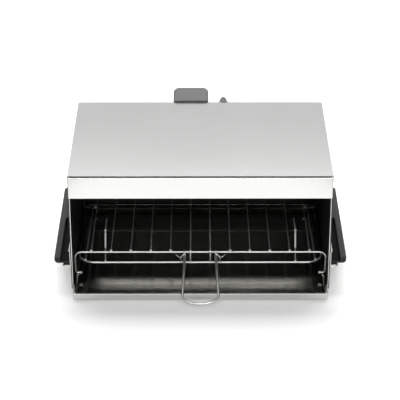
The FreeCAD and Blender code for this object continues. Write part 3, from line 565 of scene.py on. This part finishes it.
def flat_ring(low_x, high_x, low_y, high_y, radii, z, steps=6):
    """A level rounded rectangle; radii go round from the corner of high x and high y."""
    ring = []
    for cx, cy, start, r in ((high_x, high_y, 0, radii[0]), (low_x, high_y, 90, radii[1]),
                             (low_x, low_y, 180, radii[2]), (high_x, low_y, 270, radii[3])):
        cx += r if cx == low_x else -r
        cy += r if cy == low_y else -r
        for i in range(steps + 1):
            turn = math.radians(start + 90 * i / steps)
            ring.append(at(cx + r * math.cos(turn), cy + r * math.sin(turn), z))
    return ring


def scooped(block, scoop):
    """A block with a hollow taken out of it."""
    holder, tool = (bpy.data.objects.new(n, m) for n, m in (("block", block), ("scoop", scoop)))
    for part in (holder, tool):
        bpy.context.scene.collection.objects.link(part)
    cut = holder.modifiers.new("cut", "BOOLEAN")
    cut.operation, cut.object, cut.solver = "DIFFERENCE", tool, "EXACT"
    bpy.context.view_layer.update()
    ready = holder.evaluated_get(bpy.context.evaluated_depsgraph_get())
    made = bpy.data.meshes.new_from_object(ready)
    bpy.data.objects.remove(holder)
    bpy.data.objects.remove(tool)
    return made


def mirrored(mesh):
    """The same shape for the other side, its faces still outwards."""
    made = mesh.copy()
    for corner in made.vertices:
        corner.co.x = -corner.co.x
    made.flip_normals()
    return made


rail_in, rail_out, rail_front, rail_back, rail_top, rail_edge = 201.7, 226.8, -127, 112, 54, 1.5
rail_steps = [(44.0, 2.6), (44.6, 1.5), (45.8, 0.6), (47.6, 0)]
for degrees in (0, 22, 45, 68, 90):
    turn = math.radians(degrees)
    rail_steps.append((rail_top - rail_edge * (1 - math.sin(turn)),
                       rail_edge * (1 - math.cos(turn))))
rail = lofted([flat_ring(rail_in + inset, rail_out - inset, rail_front + inset, rail_back - inset,
                         [max(r - inset, 0.3) for r in (5.4, 2.0, 2.0, 6.4)], z)
               for z, inset in rail_steps])

# The rail is hollow along its inner side, with rounded ends, and open over a sill in front.
hollow_in, hollow_out, hollow_front, hollow_back = 203.1, 217.4, -125.2, 6.6
scoop = lofted([flat_ring(hollow_in - 0.6 * flare, hollow_out + flare, hollow_front - 0.6 * flare,
                          hollow_back + flare, [6.2, 6.2, 1.6, 1.6], z)
                for z, flare in ((45.0, -1.0), (45.3, -0.5), (46.0, 0), (53.3, 0), (53.75, 0.2),
                                 (54.1, 0.7), (55.0, 1.6))])
sill = lofted([flat_ring(low, high, -132.0, -124.4, [0.3] * 4, z)
               for z, low, high in ((46.8, 204.4, 216.4), (48.0, 203.2, hollow_out),
                                    (53.3, 203.2, hollow_out), (55.0, 202.6, 218.4))])
right_rail = scooped(scooped(rail, scoop), sill)

strip_x, nose_x, strip_foot, ledge_out, nose_start = 201.25, 201.45, 43.6, 210.6, -75
strip_line = rounded([at(strip_x, 0, 71), at(strip_x, 0, strip_foot),
                      at(ledge_out, 0, strip_foot)], 1.3 * mm)
right_strip = folded(strip_line, 0.75 * mm, nose_start * mm, 111.9 * mm, axis=1)
nose_line = rounded([at(203.2, 0, 70.4), at(nose_x, 0, 70.4), at(nose_x, 0, strip_foot),
                     at(ledge_out, 0, strip_foot)], 1.3 * mm)
right_nose = folded(nose_line, 1.15 * mm, -133.4 * mm, nose_start * mm, axis=1)
tongue = lofted([flat_ring(202.6, 213.2 - d, -134.0 + d, -121.0, [0.4, 0.4, 0.4, 5.0], z)
                 for z, d in ((41.6, 1.0), (41.8, 0.5), (42.2, 0.15), (42.6, 0), (43.0, 0.25),
                              (43.3, 1.0))])

# The bottom of the rail's long hollow is a near black plate that hardly reflects: painted shade
# for the deep hollow.
hollow_shade_black = black.copy()
hollow_shade_black.name = "hollow_shade_black"
tree, shader = hollow_shade_black.node_tree, shader_of(hollow_shade_black)
shader.inputs["Specular IOR Level"].default_value = 0.03
tree.links.new(tinted(tree, noise(tree, (400, 400, 400), 3.0), (0.003, 0.003, 0.003),
                      (0.008, 0.008, 0.008)), shader.inputs["Base Color"])
well = lofted([flat_ring(202.7, 217.8, -125.6, 7.0, [6.4, 6.4, 1.6, 1.6], z)
               for z in (44.6, 45.5)])

rivet_x, rivet_level, rivet_rows = 202.0, 62.5, (-119, -7.5, 98)
under_x, under_level, under_rows = 206.1, 43.2, (-85, 70)
for side, name in ((1, "right"), (-1, "left")):
    turn = (lambda mesh: mesh) if side > 0 else mirrored
    add_piece(f"{name}_rail", turn(right_rail), "black_plastic", "housing", f"{name}_grip")
    # The near black plate in each hollow is painted shade.
    base = add_piece(f"{name}_well", turn(well), "black_plastic", "housing")
    base.data.materials[0] = hollow_shade_black
    add_piece(f"{name}_strip", turn(right_strip), "strip_steel", "housing",
              f"{name}_grip_strip")
    add_piece(f"{name}_nose", turn(right_nose), "strip_steel", "housing")
    add_piece(f"{name}_tongue", turn(tongue), "strip_steel", "housing")
    rivets = grown(domed, spots([at(side * rivet_x, y, rivet_level) for y in rivet_rows],
                                [(side, 0, 0)] * len(rivet_rows)), Radius=4.0 * mm,
                   Height=3.4 * mm, Rim=0.8 * mm, Recess=0.0, Finish=screw_steel)
    add_piece(f"{name}_rivets", rivets, "screw_steel", "housing", "grip_rivets")
    screws = grown(crossed, spots([at(side * under_x, y, under_level) for y in under_rows],
                                  [(0, 0, -1)] * len(under_rows)), Radius=screw_head,
                   Height=2.3 * mm, Rim=screw_rim, Recess=recess, Finish=screw_steel)
    add_piece(f"{name}_rail_screws", screws, "screw_steel", "housing", "grip_screws")

# ----------------------------------------------------------------------------
# Drip tray. A folded stainless pan, mirror bright inside, whose rim turns in
# all round; it slides on the base under the rack.
# ----------------------------------------------------------------------------
pan_steel = rolled_steel("tray_steel", (0.60, 0.60, 0.585), (0.68, 0.68, 0.665), 0.118, along=1,
                         relief=0.015, patchy=0.3)
tree, shader = pan_steel.node_tree, shader_of(pan_steel)
shader.inputs["Anisotropic"].default_value = 0.92
across = put(tree, "ShaderNodeTangent", direction_type="UV_MAP", uv_map="lay")
tree.links.new(across.outputs[0], shader.inputs["Tangent"])

# The far end of the pan, deep under the hood, is darkened: painted shade that dims the pan's
# reflections there.
rear_shade_mask = eased(tree, own_place(tree)[1], 0.080, 0.118, 1.0)
plain = shader.inputs["Base Color"].links[0].from_socket
rear_painted_shade = put(tree, "ShaderNodeMix", {0: rear_shade_mask, 6: plain, 7: (0.30, 0.29, 0.27, 1)},
            data_type="RGBA", blend_type="MULTIPLY")
tree.links.new(rear_painted_shade.outputs[2], shader.inputs["Base Color"])

# From the floor up the inner wall, over the turned-in rim and down outside: the height, how
# far in from the sides and from the ends, and the corner radius.
pan_side, pan_front, pan_back = 196.5, 167.8, 127.8
pan_steps = (
    (5.1, 30, 30, 3), (5.1, 2.7, 2.7, 1.5), (5.1, 2.4, 2.4, 1.6), (5.35, 1.5, 1.5, 1.8),
    (6.1, 0.9, 0.9, 2.0), (6.4, 0.9, 0.9, 2.0), (12.6, 0.9, 0.9, 2.0), (12.9, 0.9, 0.9, 2.0),
    (13.5, 1.5, 1.5, 1.8), (13.5, 5.7, 2.7, 0.6), (13.9, 6.0, 3.0, 0.5), (14.3, 5.7, 2.7, 0.6),
    (14.3, 1.0, 1.0, 1.5), (14.0, 0.3, 0.3, 2.0), (13.3, 0, 0, 2.2), (13.0, 0, 0, 2.2),
    (5.6, 0, 0, 2.2), (5.3, 0, 0, 2.2), (4.6, 0.3, 0.3, 2.0), (4.3, 1.0, 1.0, 1.6),
    (4.3, 30, 30, 3))
pan = lofted([flat_ring(side_in - pan_side, pan_side - side_in, end_in - pan_front,
                        pan_back - end_in, [corner] * 4, z, 4)
              for z, side_in, end_in, corner in pan_steps])

# The grain of the rolled sheet lies along this map.
lay = pan.uv_layers.new(name="lay")
for loop in pan.loops:
    place = pan.vertices[loop.vertex_index].co
    lay.data[loop.index].uv = (place.x + 0.001 * place.z, place.y + 0.7 * place.z)
add_piece("drip_pan", pan, "tray_steel", "tray", "drip_tray")

# ----------------------------------------------------------------------------
# Roasting rack. Two bent gates, a lower bar and side rods of chromed wire,
# with the thinner grid wires spot welded across them.
# ----------------------------------------------------------------------------
for slot, plate in (("rack_wire", 0.72), ("handle_wire", 0.84)):
    wire_steel = rolled_steel(slot, (0.70, 0.70, 0.68), (0.84, 0.84, 0.82), 0.12, along=1,
                              lines=2500, relief=0.03)
    shader_of(wire_steel).inputs["Metallic"].default_value = plate

sweep, given, ends = new_tree("drawn_wire", Radius="Float", Sides="Int", Finish="Material")
course = put(sweep, "GeometryNodeMeshToCurve", {"Mesh": given["Start"]})
ring = put(sweep, "GeometryNodeCurvePrimitiveCircle", {"Radius": given["Radius"],
                                                       "Resolution": given["Sides"]})
drawn = put(sweep, "GeometryNodeCurveToMesh", {"Curve": course.outputs[0],
            "Profile Curve": ring.outputs[0], "Fill Caps": True})
end_tree(sweep, ends, drawn.outputs[0], given["Finish"])


def courses(*runs):
    """The runs of points that wires follow, as loose edges."""
    points, edges = [], []
    for run in runs:
        edges += [(len(points) + i, len(points) + i + 1) for i in range(len(run) - 1)]
        points += run
    made = bpy.data.meshes.new("courses")
    made.from_pydata(points, edges, [])
    return made


def wires(name, slot, body, radius, runs, *stands_for, sides=14):
    """One piece of drawn wires of a radius in millimetres, along the runs."""
    made = grown(sweep, courses(*runs), Radius=radius * mm, Sides=sides,
                 Finish=bpy.data.materials[slot])
    return add_piece(name, made, slot, body, *stands_for)


# A bead of weld, or a ball end: a slightly flattened ball at each point.
bead_tree, given, ends = new_tree("weld_beads", Radius="Float", Finish="Material")
ball = put(bead_tree, "GeometryNodeMeshUVSphere", {"Segments": 16, "Rings": 10,
                                                   "Radius": given["Radius"]})
copies = put(bead_tree, "GeometryNodeInstanceOnPoints", {"Points": given["Start"],
             "Instance": ball.outputs[0], "Scale": (1.0, 1.0, 0.92)})
end_tree(bead_tree, ends, copies.outputs[0], given["Finish"])

# The rear gate sits under the heater, deep in the hood; its wire is darkened, painted shade that
# keeps it and its reflection in the pan dim.
shaded_gate_wire = bpy.data.materials["rack_wire"].copy()
shaded_gate_wire.name = "painted_shade_wire"
tree = shaded_gate_wire.node_tree
tree.links.new(tinted(tree, noise(tree, (90, 90, 90), 4.0), (0.10, 0.085, 0.07),
                      (0.26, 0.24, 0.21)), shader_of(shaded_gate_wire).inputs["Base Color"])

# The weld beads are real, but they get a pale, rough, nearly non-metal finish that stays bright
# under any lamp: a painted highlight for the glints on them.
weld_glint_finish = bpy.data.materials["rack_wire"].copy()
weld_glint_finish.name = "weld_painted_glint"
tree, shader = weld_glint_finish.node_tree, shader_of(weld_glint_finish)
pores = noise(tree, (1400, 1400, 1400), 3.0)
tree.links.new(spread(tree, pores, 0.34, 0.5), shader.inputs["Roughness"])
shader.inputs["Metallic"].default_value = 0.1


def welds(name, radius, places):
    """Pale beads of a radius in millimetres, one at each place; their paleness is a painted
    highlight.
    """
    made = grown(bead_tree, spots(places, [(0, 0, 1)] * len(places)), Radius=radius * mm,
                 Finish=weld_glint_finish)
    add_piece(name, made, "rack_wire", "rack")
    made.materials[0] = weld_glint_finish


frame_wire, front_y, rear_y = 1.5, -106, 112
bar_top, rear_top, low_bar, foot_level = 53.1, 39.5, 34.7, 16.1
front_foot, rear_foot = 187.5, 176.5
for name, y, top, inner in (("front_hoop", front_y, bar_top, front_foot),
                            ("rear_hoop", rear_y, rear_top, rear_foot)):
    half = [at(196.1, y, top), at(195.2, y, foot_level), at(inner, y, foot_level)]
    other = [Vector((-p.x, p.y, p.z)) for p in half]
    hoop = rounded(other[::-1] + half, [4 * mm, 9.5 * mm, 9.5 * mm, 4 * mm], 8)
    gate = wires(name, "rack_wire", "rack", frame_wire, [hoop], name.replace("hoop", "gate"))
    # The rear gate takes the darkened wire: painted shade.
    if name == "rear_hoop":
        gate.data.materials[0] = shaded_gate_wire
welds("hoop_feet", 2.4, [at(side * x, y, foot_level) for side in (-1, 1)
                         for x, y in ((front_foot, front_y), (rear_foot, rear_y))])
low_half, low_end = 190.7, -77
wires("lower_rail", "rack_wire", "rack", frame_wire, [rounded(
    [at(-low_half, low_end, low_bar), at(-low_half, front_y, low_bar),
     at(low_half, front_y, low_bar), at(low_half, low_end, low_bar)], 25 * mm, 14)], "lower_bar")
runner_x, wire_rear = 180, 113.6
runner_fronts = [at(side * runner_x, -103.1, 37.85) for side in (-1, 1)]
wires("side_runners", "rack_wire", "rack", frame_wire,
      [[front, at(side * runner_x, wire_rear, 19.0)]
       for side, front in zip((-1, 1), runner_fronts)], "side_rods")

# The grid: a row of equal wires lying on both gates, all but the middle pair.
grid_tree, given, ends = new_tree("grid", Count="Int", Pitch="Float", Radius="Float",
                                  Front="Vector", Rear="Vector", Finish="Material")
first = total(grid_tree, total(grid_tree, given["Count"], 1, "SUBTRACT"),
              total(grid_tree, given["Pitch"], -0.5, "MULTIPLY"), "MULTIPLY")
start = put(grid_tree, "ShaderNodeCombineXYZ", {0: first}).outputs[0]
step = put(grid_tree, "ShaderNodeCombineXYZ", {0: given["Pitch"]}).outputs[0]
row = put(grid_tree, "GeometryNodeMeshLine", {"Count": given["Count"], "Start Location": start,
                                              "Offset": step})
from_middle = total(grid_tree, spot_place(grid_tree)[0], 0, "ABSOLUTE")
near = total(grid_tree, from_middle, given["Pitch"], "LESS_THAN")
kept = put(grid_tree, "GeometryNodeDeleteGeometry", {"Geometry": row.outputs[0],
           "Selection": near}, domain="POINT")
wire = put(grid_tree, "GeometryNodeCurvePrimitiveLine", {"Start": given["Front"],
                                                         "End": given["Rear"]})
copies = put(grid_tree, "GeometryNodeInstanceOnPoints", {"Points": kept.outputs[0],
                                                         "Instance": wire.outputs[0]})
real = put(grid_tree, "GeometryNodeRealizeInstances", {"Geometry": copies.outputs[0]})
ring = put(grid_tree, "GeometryNodeCurvePrimitiveCircle", {"Radius": given["Radius"],
                                                           "Resolution": 12})
drawn = put(grid_tree, "GeometryNodeCurveToMesh", {"Curve": real.outputs[0],
            "Profile Curve": ring.outputs[0], "Fill Caps": True})
end_tree(grid_tree, ends, drawn.outputs[0], given["Finish"])
grid_count, grid_pitch, wire_rear_level = 12, 30.95, 41.96
grid_front, grid_rear = at(0, -107.6, 55.76), at(0, wire_rear, wire_rear_level)
grid = grown(grid_tree, spots([at(0, 0)], [(0, 0, 1)]), Count=grid_count, Pitch=grid_pitch * mm,
             Radius=1.0 * mm, Front=grid_front, Rear=grid_rear,
             Finish=bpy.data.materials["rack_wire"])
add_piece("grid", grid, "rack_wire", "rack", "grid_wires")
tie_places, tie_y = (-grid_pitch / 2, grid_pitch / 2), -108.65
grid_x = [side * (k + 0.5) * grid_pitch for side in (-1, 1) for k in range(1, grid_count // 2)]
welds("grid_ends", 2.15, [grid_front + at(x, 0.6, 0.3) for x in grid_x])
welds("tie_ends", 1.5, [at(x, -108.3, 55.9) for x in tie_places])
welds("runner_ends", 1.5, runner_fronts)
ties = [rounded([at(x, tie_y, 33.3), at(x, tie_y, 55.85), at(x, wire_rear, wire_rear_level)],
                1.3 * mm) for x in tie_places]
wires("tie_pair", "rack_wire", "rack", 1.1, ties, "tie_wires", sides=12)

# Each stay rises to a bend and leans back; a pale sleeve over part of its upright is a painted
# highlight.
stay_places = (-148.5, 148.5)
stay_foot, stay_knee, stay_tip = (front_y, 36.8), (-84, 81.4), (-36, 75.4)
stays = [rounded([at(x, *stay_foot), at(x, *stay_knee), at(x, *stay_tip)], 5 * mm)
         for x in stay_places]
wires("stay_pair", "rack_wire", "rack", 1.2, stays, "rack_stays", sides=12)
glint_runs = [[at(x, *stay_foot).lerp(at(x, *stay_knee), share) for share in (0.42, 0.90)]
           for x in stay_places]
stay_glint_sleeves = wires("stay_glint_sleeves", "rack_wire", "rack", 1.3, glint_runs)
stay_glint_sleeves.data.materials[0] = weld_glint_finish
welds("stay_welds", 1.9, [at(x, y, z) for y, z in ((-107, 36.9), (-85.0, 79.8))
                          for x in stay_places])

# ----------------------------------------------------------------------------
# Rack handle. One thicker wire bent to a bail, with an eye on each leg that
# closes round the upper bar and a tail that rests on the lower one.
# ----------------------------------------------------------------------------
droop, eye = math.radians(27.358), 3.66
pivot = at(0, front_y, bar_top)
out_way = Vector((0, -math.cos(droop), -math.sin(droop)))
up_way = Vector((0, -math.sin(droop), math.cos(droop)))


def on_bail(x, along):
    """A place on the bail's plane, under the bar."""
    return pivot - up_way * (eye * mm) + out_way * (along * mm) + at(x, 0)


eye_half, grip_half, leg_start, leg_end, bail_end = 24, 28, 1.5, 83.6, 98.1
bail = rounded([on_bail(eye_half, leg_start), on_bail(grip_half, leg_end), on_bail(0, bail_end),
                on_bail(-grip_half, leg_end), on_bail(-eye_half, leg_start)],
               [7 * mm, 44 * mm, 7 * mm], 12)
wires("handle_bail", "handle_wire", "handle", 2.1, [bail], "rack_handle", sides=16)

# Each leg's end is drawn thinner, wound round the bar and down to the lower bar.
coil_radius, coil_steps, coil_start, coil_width = 2.75, 29, 23.6, 1.6
tail_x, tail_y, knee_level, tail_foot = 30.6, -108.85, 45.4, 36.3
tails, curls = [], []
for side in (1, -1):
    coil = [on_bail(side * 24.3, 6.0)]
    for i in range(coil_steps + 1):
        turn = math.radians(60 - 420 * i / coil_steps) + droop
        spot = Vector((0, -math.cos(turn), -math.sin(turn)))
        coil.append(pivot + spot * (coil_radius * mm)
                    + at(side * (coil_start + coil_width * i / coil_steps), 0))
    knee = at(side * tail_x, tail_y, knee_level)
    last = coil.pop()
    tails.append(coil + rounded([last, knee, at(side * tail_x, tail_y, tail_foot)], 3 * mm))
    curls.append(rounded([knee + at(0, 0.3, -0.6), knee + at(side * 3.2, 1.6, -1.2),
                          knee + at(side * 7.4, 2.6, 3.0)], 6 * mm))
wires("handle_eyes", "handle_wire", "handle", 1.2, tails, sides=12)
wires("handle_curls", "handle_wire", "handle", 0.6, curls, sides=10)

# ----------------------------------------------------------------------------
# Studio. A pale sweep of paper, soft light from above and in front, and a
# camera a little above the roaster.
# ----------------------------------------------------------------------------
paper = bpy.data.materials.new("studio_paper")
paper.use_nodes = True
tree = paper.node_tree
tree.nodes.clear()
path = put(tree, "ShaderNodeLightPath")
looked_at, mirrored_ray = path.outputs["Is Camera Ray"], path.outputs["Is Glossy Ray"]
seen = total(tree, looked_at, mirrored_ray, "MAXIMUM")
spot = own_place(tree)
wide = total(tree, spot[0], 0, "ABSOLUTE")

# The paper glows a little everywhere to the camera and in reflections, and to the camera more at
# both sides: painted light that thins the shadow there.
side_painted_light = eased(tree, wide, 0.182, 0.262, 0.28)
lifted = total(tree, total(tree, seen, 0.20, "MULTIPLY"),
               total(tree, looked_at, side_painted_light, "MULTIPLY"))
lift = put(tree, "ShaderNodeEmission", {"Color": (1, 1, 1, 1), "Strength": lifted})
matt = put(tree, "ShaderNodeBsdfDiffuse", {"Color": (0.80, 0.80, 0.795, 1)})
both = put(tree, "ShaderNodeAddShader", {0: matt.outputs[0], 1: lift.outputs[0]})

# Beside and behind the roaster the paper turns dark grey in reflections only: a painted
# reflection that gives the panels tone.
aside = total(tree, eased(tree, wide, 0.212, 0.29, 0.62), eased(tree, wide, 0.29, 0.80, 0.38))
beyond = eased(tree, spot[1], 0.22, 0.75, 1.0)
shade = total(tree, total(tree, aside, beyond, "MAXIMUM"),
              total(tree, mirrored_ray, 0.76, "MULTIPLY"), "MULTIPLY")
grey = put(tree, "ShaderNodeBsdfDiffuse", {"Color": (0.02, 0.02, 0.02, 1)})
both = put(tree, "ShaderNodeMixShader", {0: shade, 1: both.outputs[0], 2: grey.outputs[0]})
tree.links.new(both.outputs[0], put(tree, "ShaderNodeOutputMaterial").inputs["Surface"])
sweep_mesh = bpy.data.meshes.new("paper_sweep")
reach = 6
sweep_mesh.from_pydata([(-reach, -reach, 0), (reach, -reach, 0), (reach, reach, 0),
                        (-reach, reach, 0)], [], [(0, 1, 2, 3)])
sweep_mesh.materials.append(paper)
floor = bpy.data.objects.new("paper_sweep", sweep_mesh)
bpy.context.scene.collection.objects.link(floor)

room = bpy.data.worlds.new("room")
bpy.context.scene.world = room
room.use_nodes = True
tree = room.node_tree
tree.nodes.clear()
path = put(tree, "ShaderNodeLightPath")
aim = own_place(tree, "Generated")
behind = eased(tree, aim[1], -0.10, 0.60, 0.88, 0.02)
above = eased(tree, aim[2], 0.60, 0.90, 0.62)
level = put(tree, "ShaderNodeMapRange", {"Value": path.outputs["Is Camera Ray"],
            "To Min": total(tree, behind, above, "MAXIMUM"), "To Max": 1.0})
glow = put(tree, "ShaderNodeBackground", {"Color": (1, 1, 1, 1), "Strength": level.outputs[0]})
tree.links.new(glow.outputs[0], put(tree, "ShaderNodeOutputWorld").inputs["Surface"])


def softbox(name, size, power, place, target):
    """A rectangular soft lamp in metres and watts, turned to its target."""
    lamp = bpy.data.lights.new(name, "AREA")
    lamp.shape = "RECTANGLE"
    lamp.size, lamp.size_y = size
    lamp.energy = power
    made = bpy.data.objects.new(name, lamp)
    made.location = place
    made.rotation_euler = (Vector(target) - Vector(place)).to_track_quat("-Z", "Y").to_euler()
    bpy.context.scene.collection.objects.link(made)
    return made


# The lamp above lights but isn't mirrored; the sheen behind it is mirrored but doesn't light.
overhead = softbox("overhead", (1.6, 0.5), 25.5, (0, 0.585, 1.61), (0, 0, 0.1))
sheen = softbox("sheen", (1.6, 0.3), 3.3, (0, 1.15, 1.45), (0, 0, 0.2))
overhead.visible_glossy = False
sheen.visible_diffuse = False
softbox("front_fill", (2.4, 0.4), 26, (0, -2.2, 1.95), (0, -0.1, 0.1))
softbox("low_fill", (2.4, 0.2), 8, (0, -2.6, 0.30), (0, 0, 0.12))

lens = bpy.data.cameras.new("camera")
lens.lens, lens.sensor_width = 148.5, 36
camera = bpy.data.objects.new("camera", lens)
bpy.context.scene.collection.objects.link(camera)
look_down, look_aside = 27.82, -0.09
camera.location = (-0.0041, -2.3456, 1.3265)
camera.rotation_euler = (math.radians(90 - look_down), 0, math.radians(look_aside))
bpy.context.scene.camera = camera
bpy.context.scene.view_settings.view_transform = "Standard"
